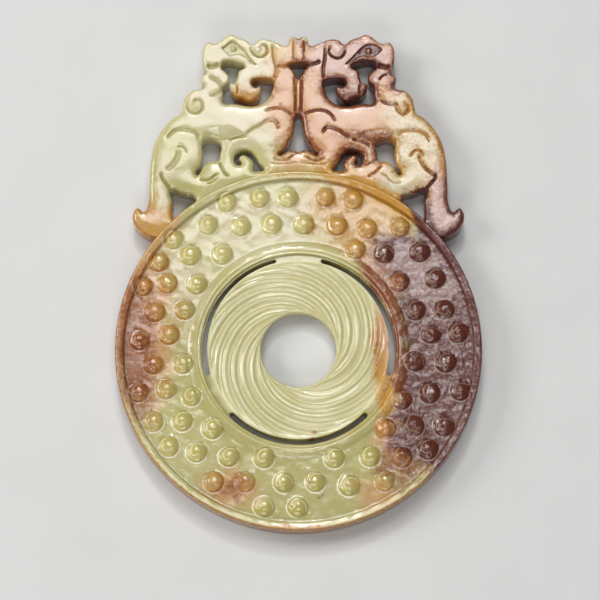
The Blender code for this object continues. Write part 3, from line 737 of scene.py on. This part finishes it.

# Stains: across, up, half length, half width (mm), turn (degrees), softness, strength.
# Pale is the lighter stone. Ochre gathers on slopes, crust on slopes, cuts and borders. Cream is
# paler stone with painted sheen on the flat faces; mauve and rose are painted sheen on the flat
# faces of the dark red stone.
stainsAndSheen = {
    "pale": [
        (0, 0, 18.9, 18.9, 0, 0.1, 1), (-6, 53, 34, 17, 0, 0.4, 0.6),
        (-6, 25, 24, 11, 10, 0.9, 0.55), (-25, -19, 8, 8, 0, 1.2, 0.4),
        (25, 42, 9, 12, 0, 0.6, 0.9),
    ],
    # paler stone with painted sheen, kept to the flat faces
    "creamAndSheen": [
        (-8, 57, 18, 9, 0, 0.8, 0.9), (-12, 47.5, 13, 6, 0, 0.9, 0.7),
        (23.5, 43, 10.5, 14, 0, 0.5, 1), (-27.5, 34, 3, 9, 0, 1, 0.5),
        (12, 27, 10, 7, -30, 1.2, 0.4), (-8, 26.5, 16, 8, 8, 1.2, 0.6),
        (-24, 13.5, 6.5, 8, 10, 1.2, 0.7), (-2, 29, 7, 4, 0, 1.2, 0.7),
    ],
    "blush": [
        (8.5, 50, 10.5, 13, 0, 0.9, 1), (-1.5, 53.5, 5, 11, 0, 1.4, 0.95),
        (13.5, 61, 12, 9, 0, 0.5, 1), (20, 56, 4, 6, 0, 1, 0.5), (1.5, 40, 7, 2.6, 0, 1.2, 0.7),
        (12, 39, 7, 5, -20, 0.9, 0.8), (-11, 54, 4.5, 2.2, 0, 1.1, 0.55),
        (12, 28, 11, 7, -30, 1.3, 0.6), (-32.5, 4, 6, 18, 4, 1.3, 0.85),
        (-29, 24, 7, 3, 50, 1.3, 0.6), (18, 18, 5, 8, 30, 1.2, 0.8),
        (17.4, -1, 2, 12, 5, 1.3, 0.8), (-13.5, -28.8, 6, 3.6, -8, 1.2, 0.7),
        (15.5, -30, 4.5, 3.5, -30, 1.3, 0.6), (0, -37.2, 24, 0.9, 0, 1.2, 0.7),
        (19.5, -17, 4.5, 7, 10, 1.2, 0.8), (-31.5, 27, 5, 4, 0, 1.3, 0.6),
        (0.5, 60.5, 5, 4.5, 0, 1.3, 0.8), (30.5, 31, 5, 9, 0, 0.5, 1),
        (24, 42, 8, 10, 0, 0.9, 0.25),
    ],
    "ochre": [
        (0, 61.2, 4.8, 1.7, 0, 0.8, 1), (-7.3, 57.2, 3.2, 1.3, 0, 0.8, 1),
        (-11.5, 53.3, 4, 1.8, -8, 0.8, 1), (0, 54, 2, 7, 0, 0.9, 1),
        (-3.4, 44, 2.2, 5.2, -30, 1, 1), (9.5, 28, 9, 8, -30, 1, 0.85),
        (15, 32.9, 15.5, 2.2, -29, 0.7, 1), (-28, 11, 5, 13, 12, 1.1, 1),
        (-27, 2.5, 3.6, 4.4, 0, 0.9, 1), (-29.5, -4.5, 3.2, 4.4, 0, 0.9, 0.9),
        (-29.5, 25, 8.5, 1.8, 47, 0.9, 0.9), (-14.5, -28.5, 6.6, 3.8, -8, 0.9, 0.9),
        (16.5, -29.5, 3.6, 3.5, -30, 1, 0.8), (17.3, -7, 1.8, 8, 8, 1, 1),
        (17.8, -16, 2.9, 3.4, 15, 0.9, 1), (-31, 29, 5, 4.4, 0, 1, 0.9),
        (27.5, 42, 4, 9, 12, 1, 0.8), (24.5, 51.5, 4, 4.4, 0, 1, 0.8), (0, 37, 9, 1.2, 0, 1, 0.6),
        (-14.5, 0.8, 0.5, 1.4, -20, 0.9, 0.6), (2.6, -18.9, 0.6, 0.9, 0, 0.5, 1),
        (11.5, 20.9, 2.8, 2.8, 0, 0.9, 0.9), (21, 25.6, 3, 3, 0, 0.9, 0.9),
        (10, 48, 16, 18, 0, 0.8, 0.55),
    ],
    "russet": [
        (-36, 3, 3.4, 20, 3, 1.1, 0.5), (-33.5, 0, 4.6, 15, 4, 1.3, 0.75),
        (16.6, 13.2, 7, 1.7, 130, 1, 0.9), (-13, -28.8, 3.4, 2.8, 10, 1, 0.6),
        (20.6, 0.5, 1.9, 20, 5, 1, 0.9), (0.3, 63.5, 0.5, 3.5, 0, 0.9, 0.8),
        (3, 61.2, 2.4, 0.9, 0, 0.9, 0.9), (9, 57.4, 3.6, 1.4, 0, 0.8, 1),
        (23.5, -21.5, 8.5, 6, 40, 1.1, 0.7), (14, 45, 6.5, 1.6, -4, 1, 0.6),
        (19, 18.5, 4.5, 7, 30, 1.1, 0.7), (4.3, -30.3, 0.8, 0.35, 20, 0.8, 0.8),
        (3.2, -17.2, 0.45, 0.35, 0, 0.8, 1), (2.2, -27.6, 0.5, 0.3, -40, 0.8, 0.8),
        (31.5, -27, 8, 3, 45, 1, 0.6),
    ],
    "amber": [
        (15, 32.9, 15.5, 2.2, -29, 0.8, 0.95), (-29.5, 25, 8.5, 1.9, 47, 1, 0.7),
        (17.2, -7, 1.7, 8, 8, 1.1, 0.9), (0, 37, 9, 1.2, 0, 1.1, 0.5),
        (0, 54, 1.2, 6, 0, 1.2, 0.5), (24, 44, 8, 9, 0, 1, 0.22), (-4.5, 62.5, 3, 2, 0, 1.2, 0.5),
        (-11.5, 53, 3.6, 1.2, -8, 1, 0.7), (-32, 28.5, 4, 3.5, 0, 1.2, 0.45),
        (11.5, 26.5, 10.5, 7, -30, 1.2, 0.5),
    ],
    "maroon": [
        (29.5, 4, 9.3, 24, 0, 0.5, 1), (23.5, 20.3, 8, 4.6, 0, 0.8, 1),
        (26.5, -16.5, 7.6, 8.5, -10, 0.7, 0.9), (30, 24, 9, 3.2, -45, 0.6, 1),
        (36, -2, 3.4, 26, 0, 0.6, 1), (16.5, 62, 6, 4, 0, 1.4, 0.3),
        (11.5, 54, 3.6, 2.2, 0, 1, 0.6), (30.5, 30, 5, 6, 0, 1, 0.5), (13, 41, 3.5, 3, 0, 1, 0.25),
        (14, 60.6, 3.2, 1, 0, 0.7, 1), (32.5, 28, 2.5, 3, 0, 0.9, 0.9),
    ],
    # painted sheen on the flat faces of the dark red stone
    "mauveSheen": [
        (23.5, 17.5, 6.5, 5.5, 0, 0.9, 0.85), (28, 12, 5.5, 6.5, 0, 1.1, 0.7),
        (27, 2, 7, 8, 0, 1.2, 0.3), (30, -15, 5, 8, 0, 1.2, 0.25),
    ],
    # painted sheen on the flat faces of the right beast's dark red head and leg
    "roseSheen": [
        (30.3, 31, 3.8, 7.4, 0, 0.8, 1), (13.5, 62, 10.5, 6, 0, 0.8, 0.95),
        (12.5, 55.5, 3.6, 3, 0, 1, 0.8), (8, 52, 6, 5, 0, 1.2, 0.35),
    ],
    "crust": [
        (10, 53, 12, 15, 0, 0.6, 1), (22, 48, 12, 11, 0, 0.6, 0.85),
        (-1.2, 50, 4, 12, 0, 1.1, 0.55), (29, 32, 7, 9, 0, 0.6, 1), (26, 0, 10, 26, 0, 0.8, 0.5),
        (-35, 2, 5, 20, 0, 1, 0.5),
    ],
    "darkCrust": [
        (12, 58, 11, 8.5, 0, 0.8, 0.9), (30, 31.5, 6, 7.5, 0, 0.6, 1), (12, 42, 6, 5, 0, 0.9, 0.6),
        (3.5, 45, 4, 8, 0, 0.9, 0.5), (19.5, 57, 3, 6, 0, 0.8, 0.6),
    ],
    "pitted": [
        (27, 1, 14, 27, 0, 0.6, 1), (30, 31, 5, 8, 0, 0.6, 1), (13, 60, 10, 7, 0, 0.6, 0.8),
    ],
}


def ovalMask(flat, patches, seed):
    # how strongly each stain and painted sheen colours each place: overlapping ovals with
    # wandering borders
    push = np.column_stack([uneven(flat, 5.5, seed), uneven(flat, 5.5, seed + 1)]) * 0.8
    push += np.column_stack([uneven(flat, 1.7, seed + 2), uneven(flat, 1.7, seed + 3)]) * 0.3
    total = np.zeros(len(flat))
    for x, y, long, wide, turn, soft, strength in patches:
        gap = flat + push * min(1.0, wide / 3.0) - (x, y)
        turn = math.radians(turn)
        along = (gap[:, 0] * math.cos(turn) + gap[:, 1] * math.sin(turn)) / long
        across = (gap[:, 1] * math.cos(turn) - gap[:, 0] * math.sin(turn)) / wide
        oval = softStep(1.0 + soft / 2 - np.hypot(along, across), 0.0, soft)
        total = np.maximum(total, strength * oval)
    return total


def colourMasks(mesh):
    flat = readPlaces(mesh)[:, :2]
    slope = 1.0 - readPlaces(mesh, "normal")[:, 2]
    carved = readMark(mesh, "carved")
    steep = np.maximum(softStep(slope, 0.04, 0.4), carved)
    edge = np.maximum(softStep(slope, 0.02, 0.18), carved)
    edge = np.maximum(edge, readMark(mesh, "rim"))
    masks = {kind: ovalMask(flat, patches, 20 + 5 * number)
             for number, (kind, patches) in enumerate(stainsAndSheen.items())}
    masks["ochre"] *= 0.35 + 0.65 * steep
    masks["crust"] *= edge
    masks["darkCrust"] *= steep
    # the painted sheens are kept to the flat faces
    masks["mauveSheen"] *= 1.0 - edge
    masks["roseSheen"] *= 1.0 - edge
    # on the right haunch the cream with its painted sheen reaches into the cuts, whose borders are
    # honey-coloured
    haunch = ovalMask(flat, [(25.0, 43.5, 8.5, 11.0, 0, 0.6, 1.0)], 90)
    masks["creamAndSheen"] *= 1.0 - 0.85 * steep * (1.0 - 0.8 * haunch)
    masks["crust"] *= 1.0 - 0.65 * haunch
    masks["amber"] = np.maximum(masks["amber"], 0.75 * haunch * edge)
    radius = np.hypot(flat[:, 0], flat[:, 1])
    # the disc's outer wall is browner than its lip
    wall = softStep(radius, 36.9, 37.4) * softStep(37.8 - radius, 0.0, 0.2)
    wall *= softStep(22.0 - flat[:, 1], 0.0, 12.0)
    masks["ochre"] = np.maximum(masks["ochre"], 0.75 * wall)
    masks["russet"] = np.maximum(masks["russet"], 0.35 * wall)
    band = softStep(radius, 19.4, 20.0) * softStep(23.2 - radius, 0.0, 1.0)
    masks["maroon"] *= 1.0 - 0.45 * band
    masks["pitted"] *= softStep(radius, 20.0, 22.0)
    # how far each corner lies in a hollow or stands out, used for painted shade and painted
    # highlights
    masks["hollow"] = hollowness(mesh)
    return masks


def hollowness(mesh):
    # how far each corner lies below its neighbours (plus) or stands above them (minus)
    places = readPlaces(mesh)
    normals = readPlaces(mesh, "normal")
    edges = np.empty(len(mesh.edges) * 2, int)
    mesh.edges.foreach_get("vertices", edges)
    edges = edges.reshape(-1, 2)
    ends = np.vstack([edges, edges[:, ::-1]])
    way = places[ends[:, 1]] - places[ends[:, 0]]
    length = np.linalg.norm(way, axis=1) + 1e-9
    bend = np.einsum("ij,ij->i", way, normals[ends[:, 0]]) / length ** 2
    count = np.bincount(ends[:, 0], minlength=len(places))
    value = np.bincount(ends[:, 0], bend, len(places)) / count
    for _ in range(3):
        around = np.bincount(ends[:, 0], value[ends[:, 1]], len(places))
        value = 0.5 * value + 0.5 * around / count
    return value


def makeStone():
    piece = makeDisc()
    combine(piece, makeCrest(), "UNION")
    print("disc and crest joined:", len(piece.data.polygons), "faces")
    triangles = sum(len(face.vertices) - 2 for face in piece.data.polygons)
    fewer = piece.modifiers.new("fewer faces", "DECIMATE")
    fewer.ratio = min(1.0, stone["triangles"] / triangles)
    fewer.use_collapse_triangulate = True
    applyModifiers(piece)
    mesh = piece.data
    masks = colourMasks(mesh)
    # from millimetres to the frame's metres
    mesh.transform(Matrix.Translation(discMiddle) @ Matrix.Scale(0.001, 4))
    for name, values in masks.items():
        addMark(mesh, name, values)
    mesh.name = stone["name"]
    piece.name = stone["name"]
    mesh.shade_smooth()
    mesh.set_sharp_from_angle(angle=math.radians(stone["sharpAngle"]))
    print("stone finished:", len(mesh.polygons), "triangles")
    return piece


jadeStone = makeStone()


# Material of the stone

def isSocket(value):
    return isinstance(value, bpy.types.NodeSocket)


def addNode(tree, kind, inputs=None, **settings):
    # sockets are linked, and plain values are set on the node
    node = tree.nodes.new(kind)
    for name, value in settings.items():
        setattr(node, name, value)
    for name, value in (inputs or {}).items():
        if isSocket(value):
            tree.links.new(value, node.inputs[name])
        else:
            node.inputs[name].default_value = value
    return node


def nextNode(kind, inputs, **settings):
    # a node in the tree that its inputs come from
    tree = next(value.id_data for value in inputs.values() if isSocket(value))
    return addNode(tree, kind, inputs, **settings)


def maths(operation, first, second=0.5):
    return nextNode("ShaderNodeMath", {0: first, 1: second}, operation=operation).outputs[0]


def plus(first, second):
    return maths("ADD", first, second)


def minus(first, second):
    return maths("SUBTRACT", first, second)


def times(first, second):
    return maths("MULTIPLY", first, second)


def larger(first, second):
    return maths("MAXIMUM", first, second)


def stepped(value, low, high, to=(0.0, 1.0)):
    return nextNode("ShaderNodeMapRange",
                    {"Value": value, "From Min": low, "From Max": high,
                     "To Min": to[0], "To Max": to[1]},
                    interpolation_type="SMOOTHSTEP").outputs["Result"]


def mixed(share, first, second, blend="MIX"):
    # of the node's many sockets, 0 is the share, and 6 and 7 are the two colours
    colours = [(*value, 1.0) if isinstance(value, tuple) else value for value in (first, second)]
    return nextNode("ShaderNodeMix", {0: share, 6: colours[0], 7: colours[1]},
                    data_type="RGBA", blend_type=blend).outputs[2]


def noise(vector, scale, detail=3.0, rough=0.55, distortion=0.0):
    return nextNode("ShaderNodeTexNoise",
                    {"Vector": vector, "Scale": scale, "Detail": detail, "Roughness": rough,
                     "Distortion": distortion}).outputs["Fac"]


def newMaterial(name):
    material = bpy.data.materials.new(name)
    material.use_nodes = True
    tree = material.node_tree
    place = addNode(tree, "ShaderNodeTexCoord").outputs["Object"]
    return material, tree, tree.nodes["Principled BSDF"], place


stoneColours = {
    "pale": (0.60, 0.56, 0.30),
    "olive": (0.48, 0.435, 0.18),
    "dim": (0.42, 0.375, 0.145),
    # painted shade for hollows, cuts and the sloping bellies
    "hollowShadeTint": (0.36, 0.31, 0.10),
    # painted highlight for convex edges, flute crests and boss curls
    "line": (0.92, 0.88, 0.68),
    "bloom": (0.68, 0.65, 0.48),
    "blush": (0.57, 0.31, 0.155),
    "amber": (0.56, 0.32, 0.06),
    "ochre": (0.44, 0.20, 0.03),
    "russet": (0.25, 0.075, 0.025),
    "maroon": (0.115, 0.028, 0.02),
    # the bosses' colour is multiplied by this: a painted shade, darker and deeper where the bosses
    # lack the ground's sheen
    "dome": (0.98, 0.95, 0.77),
    # painted glint, a pinkish white laid over the pale highlight lines
    "paintedGlint": (0.86, 0.76, 0.64),
    # paler stone with painted sheen
    "creamAndSheen": (0.60, 0.53, 0.345),
    # painted sheen on the dark red stone
    "mauveSheen": (0.34, 0.22, 0.20),
    # painted sheen on the right beast's dark red stone
    "roseSheen": (0.56, 0.38, 0.33),
}

# the stains and painted sheens in the order they lie over each other: colour, and how far the
# border is broken up; the cream is partly painted sheen, the mauve and rose are painted sheen
stainAndSheenLayers = {
    "creamAndSheen": ("creamAndSheen", 0.2),
    "blush": ("blush", 0.2),
    "amber": ("amber", 0.4),
    "ochre": ("ochre", 0.5),
    "russet": ("russet", 0.5),
    "crust": ("russet", 0.9),
    "maroon": ("maroon", 0.25),
    "mauveSheen": ("mauveSheen", 0.6),
    "roseSheen": ("roseSheen", 0.6),
    "darkCrust": ("maroon", 0.9),
}

jadeFinish = {
    # strength of the painted shade in hollows and flute valleys, of the veins, of the pale lines
    # of painted highlight and of the painted glints over them
    "hollowShade": 0.55,
    "valleyShade": 0.4,
    "veins": 0.25,
    "lines": 0.85,
    "paintedGlint": 0.3,
    # roughness of the polish, of the bosses, and what the pitted side adds
    "polish": (0.13, 0.2),
    "bossPolish": (0.1, 0.1, 0.1),
    "pitted": 0.09,
    "grain": {"Strength": 0.12, "Distance": 0.00025},
    "pits": {"Strength": 1.0, "Distance": 0.00021},
    "shader": {"IOR": 1.62, "Subsurface Weight": 0.6, "Subsurface Radius": (1.0, 0.75, 0.35),
               "Subsurface Scale": 0.0028},
}


def fluteHighlightsAndShade(mapped, given):
    # painted highlights as thin pale lines on the crests of the flutes, by the rule of their
    # shape, and painted shade in their valleys
    parts = nextNode("ShaderNodeSeparateXYZ", {"Vector": mapped}).outputs
    angle = maths("DIVIDE", maths("ARCTAN2", parts["Y"], parts["X"]), math.tau)
    radius = maths("SQRT", plus(times(parts["X"], parts["X"]), times(parts["Y"], parts["Y"])))
    start, bend = disc["fluteBend"]
    inner = larger(minus(start, radius), 0.0)
    turned = times(maths("MINIMUM", radius, disc["fluteEnd"]), disc["fluteTurn"])
    turned = minus(turned, times(times(inner, inner), bend))
    turned = maths("DIVIDE", plus(turned, disc["fluteStart"]), 360.0)
    flute = times(minus(angle, turned), disc["flutes"])
    fromSecond = maths("ABSOLUTE", minus(maths("FRACT", flute), 0.5))
    main = stepped(fromSecond, 0.36, 0.47)
    second = times(stepped(fromSecond, 0.08, 0.02), stepped(radius, 13.0, 16.5, (0.0, 0.5)))
    wear = stepped(noise(mapped, 0.5, 3.0), 0.35, 0.6, (0.45, 1.0))
    lines = times(times(larger(main, second), wear), given["flute"])
    fromValley = maths("ABSOLUTE", minus(fromSecond, 0.22))
    return lines, times(stepped(fromValley, 0.17, 0.04), given["flute"])


def curlHighlights(given):
    # painted highlights: thin pale lines along the curl of each boss, and round its foot away from
    # the opening
    across, up, away = given["bossAcross"], given["bossUp"], given["bossAway"]
    radius = maths("SQRT", plus(times(across, across), times(up, up)))
    angle = maths("DIVIDE", maths("ARCTAN2", up, across), math.tau)
    swing = maths("FRACT", minus(angle, bosses["curlStart"] / 360.0))
    share = maths("MINIMUM", times(swing, 360.0 / bosses["curlSweep"]), 1.0)
    drawn = times(maths("POWER", share, bosses["curlEase"]), bosses["curlIn"])
    offset = maths("ABSOLUTE", minus(radius, minus(0.93, drawn)))
    inCurl = times(stepped(swing, 0.0, 0.05), stepped(swing, 0.67, 0.58))
    curl = times(stepped(offset, 0.1, 0.02), inCurl)
    fromFoot = maths("ABSOLUTE", minus(radius, 1.02))
    facing = maths("COSINE", times(minus(angle, 250.0 / 360.0), math.tau))
    foot = times(stepped(fromFoot, 0.1, 0.02), stepped(facing, -0.4, 0.3))
    return times(larger(curl, foot), stepped(away, 1.22, 1.16))


def jadeMaterial(centre):
    material, tree, shader, place = newMaterial("jade")
    # back to millimetres from the middle of the disc
    mapped = addNode(tree, "ShaderNodeMapping",
                     {"Vector": place, "Location": (-centre.x * 1000, -centre.y * 1000, 0.0),
                      "Scale": (1000.0, 1000.0, 1000.0)}).outputs[0]
    marks = (*stainsAndSheen, "hollow", "carved", "flute", "bossAcross", "bossUp", "bossAway")
    given = {name: addNode(tree, "ShaderNodeAttribute", attribute_name=name,
                           attribute_type="GEOMETRY").outputs["Fac"] for name in marks}
    # painted highlight lines on the flute crests and boss curls, and painted shade in the flute
    # valleys
    fluteCrestHighlights, valleyShade = fluteHighlightsAndShade(mapped, given)
    lines = larger(fluteCrestHighlights, curlHighlights(given))
    cloud = noise(mapped, 0.12, 4.0, 0.55)
    speck = noise(mapped, 1.5, 5.0, 0.65)
    veins = noise(mapped, 0.4, 6.0, 0.6, 1.2)
    # the clean stone: clouds of two greens, paler in places; painted shade where it is cut deep
    # and in the flute valleys, the veins, and painted highlights on edges and lines
    colour = mixed(stepped(cloud, 0.35, 0.65), stoneColours["olive"], stoneColours["dim"])
    lighter = plus(given["pale"], stepped(cloud, 0.35, 0.65, (-0.25, 0.25)))
    colour = mixed(stepped(lighter, -0.1, 1.0), colour, stoneColours["pale"])
    # painted shade in hollows, in the cuts and under the bellies
    hollowShade = larger(stepped(given["hollow"], 0.1, 0.8),
                     maths("MINIMUM", times(given["carved"], 1.3), 1.0))
    # painted highlight on convex edges and along the flute crests and boss curls
    edges = larger(stepped(given["hollow"], -0.6, -1.4), lines)
    for share, strength, tint in ((hollowShade, "hollowShade", "hollowShadeTint"), (valleyShade, "valleyShade", "olive"),
                                  (stepped(veins, 0.52, 0.7), "veins", "bloom"),
                                  (edges, "lines", "line")):
        colour = mixed(times(share, jadeFinish[strength]), colour, stoneColours[tint])
    # the borders of the stains and painted sheens are broken up by a fine pattern, and the cream
    # and mauve, which carry painted sheen, stay off the bosses
    dome = stepped(given["bossAway"], 1.05, 0.9)
    for kind, (tint, broken) in stainAndSheenLayers.items():
        ragged = stepped(speck, 0.25, 0.75, (-broken / 2, broken / 2))
        total = stepped(plus(given[kind], ragged), 0.05, 0.95)
        grown = times(total, stepped(given[kind], 0.0, 0.2))
        if kind in ("creamAndSheen", "mauveSheen"):
            grown = times(grown, minus(1.0, dome))
        colour = mixed(grown, colour, stoneColours[tint])
    # painted glints over the pale highlight lines
    colour = mixed(times(lines, jadeFinish["paintedGlint"]), colour, stoneColours["paintedGlint"])
    # painted shade: the bosses are darkened and deepened in colour, as they lack the sheen of the
    # flat ground
    colour = mixed(dome, colour, stoneColours["dome"], "MULTIPLY")
    tree.links.new(colour, shader.inputs["Base Color"])
    roughness = plus(stepped(speck, 0.3, 0.7, jadeFinish["polish"]),
                     times(given["pitted"], jadeFinish["pitted"]))
    roughness = mixed(dome, roughness, jadeFinish["bossPolish"])
    tree.links.new(roughness, shader.inputs["Roughness"])
    grain = nextNode("ShaderNodeBump", {"Height": speck, **jadeFinish["grain"]})
    pits = times(noise(mapped, 1.0, 3.0, 0.5, 0.4), given["pitted"])
    rough = nextNode("ShaderNodeBump",
                     {"Height": pits, "Normal": grain.outputs[0], **jadeFinish["pits"]})
    tree.links.new(rough.outputs[0], shader.inputs["Normal"])
    for name, value in jadeFinish["shader"].items():
        shader.inputs[name].default_value = value
    return material


jadeStone.data.materials.clear()
jadeStone.data.materials.append(jadeMaterial(discMiddle))
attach(jadeStone, "root")
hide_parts("jade_bi_disc")
print("jade shaded")


# Table, lights and camera

studio = {
    "table": (0.66, 0.66, 0.65),
    "world": (0.95, 0.97, 1.0, 1.0),
    "worldStrength": 0.1,
    # from the middle of the disc: place, size and power
    "lights": {
        # the polished top faces mirror the softbox
        "north softbox": ((0.0, 0.45, 1.05), (0.62, 0.38), 4.4),
        "north lamp": ((-0.05, 0.75, 1.0), (0.17, 0.13), 3.0),
        "south fill": ((-0.1, -0.9, 0.75), (0.7, 0.4), 3.6),
        # the front fill reaches the walls that the camera sees
        "front fill": ((0.04, -0.24, 0.85), (0.25, 0.16), 1.0),
        "west fill": ((-0.8, 0.2, 0.6), (0.4, 0.4), 4.2),
    },
    "cameraAway": 0.57065,
    "cameraTilt": 12.0,
    "lens": 168.0,
    # where the disc's middle lies in the photo of 600 by 600
    "middleAt": (298.5, 347.8),
}


def makeTable():
    shape = bmesh.new()
    bmesh.ops.create_grid(shape, x_segments=8, y_segments=8, size=1.5)
    table = addPiece("table", meshFromShape(shape, "table"))
    material, tree, shader, place = newMaterial("pale table")
    grain = noise(place, 60.0, 4.0)
    shade = mixed(stepped(grain, 0.3, 0.7), studio["table"],
                  tuple(c * 0.97 for c in studio["table"]))
    tree.links.new(shade, shader.inputs["Base Color"])
    shader.inputs["Roughness"].default_value = 0.75
    table.data.materials.append(material)


def addLight(name, target, offset, size, power):
    light = bpy.data.lights.new(name, "AREA")
    light.shape = "RECTANGLE"
    light.size, light.size_y = size
    light.energy = power
    lamp = bpy.data.objects.new(name, light)
    lamp.location = [start + step for start, step in zip(target, offset)]
    way = target - Vector(lamp.location)
    lamp.rotation_euler = way.to_track_quat("-Z", "Y").to_euler()
    bpy.context.scene.collection.objects.link(lamp)


def addCamera(target):
    camera = bpy.data.cameras.new("camera")
    camera.lens = studio["lens"]
    camera.sensor_width = 36.0
    across, down = studio["middleAt"]
    camera.shift_x = (300.0 - across) / 600.0
    camera.shift_y = (down - 300.0) / 600.0
    camera.clip_start = 0.01
    camera.clip_end = 10.0
    item = bpy.data.objects.new("camera", camera)
    tilt = math.radians(studio["cameraTilt"])
    away = Vector((0.0, -math.sin(tilt), math.cos(tilt))) * studio["cameraAway"]
    item.location = Vector((target.x, target.y, disc["height"] / 1000)) + away
    item.rotation_euler = (tilt, 0.0, 0.0)
    bpy.context.scene.collection.objects.link(item)
    bpy.context.scene.camera = item


def makeStudio(target):
    makeTable()
    world = bpy.data.worlds.new("studio")
    bpy.context.scene.world = world
    world.use_nodes = True
    background = world.node_tree.nodes["Background"]
    background.inputs["Color"].default_value = studio["world"]
    background.inputs["Strength"].default_value = studio["worldStrength"]
    for name, light in studio["lights"].items():
        addLight(name, target, *light)
    addCamera(target)
    bpy.context.scene.view_settings.view_transform = "Standard"


makeStudio(discMiddle)
print("studio lit")
